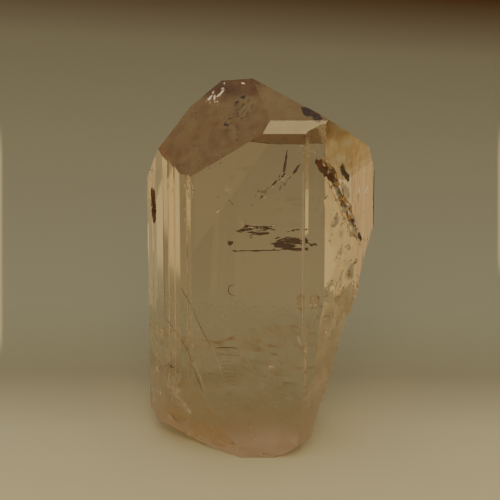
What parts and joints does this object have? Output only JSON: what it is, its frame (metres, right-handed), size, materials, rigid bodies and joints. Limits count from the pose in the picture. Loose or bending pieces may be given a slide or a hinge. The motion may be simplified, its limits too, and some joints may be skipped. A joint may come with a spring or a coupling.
{
  "type": "rough topaz crystal",
  "caption": "Clear, pale champagne prism with growth-lined sides, a sloping many-faced top, a pitted broken flank and a broken foot that it stands on.",
  "frame": {"origin": "on the flat cleavage patch under the broken foot, on the crystal's long axis", "axes": "+Z along the crystal's long axis, towards the sloping top; -Y out of the wide clear front face; +X towards the pitted broken side"},
  "size_m": [0.0128, 0.0086, 0.0221],
  "materials": {
    "topaz": "clear, glossy crystal faces with frosty broken areas"
  },
  "bodies": {
    "root": {"topaz_crystal": "topaz"}
  },
  "joints": []
}
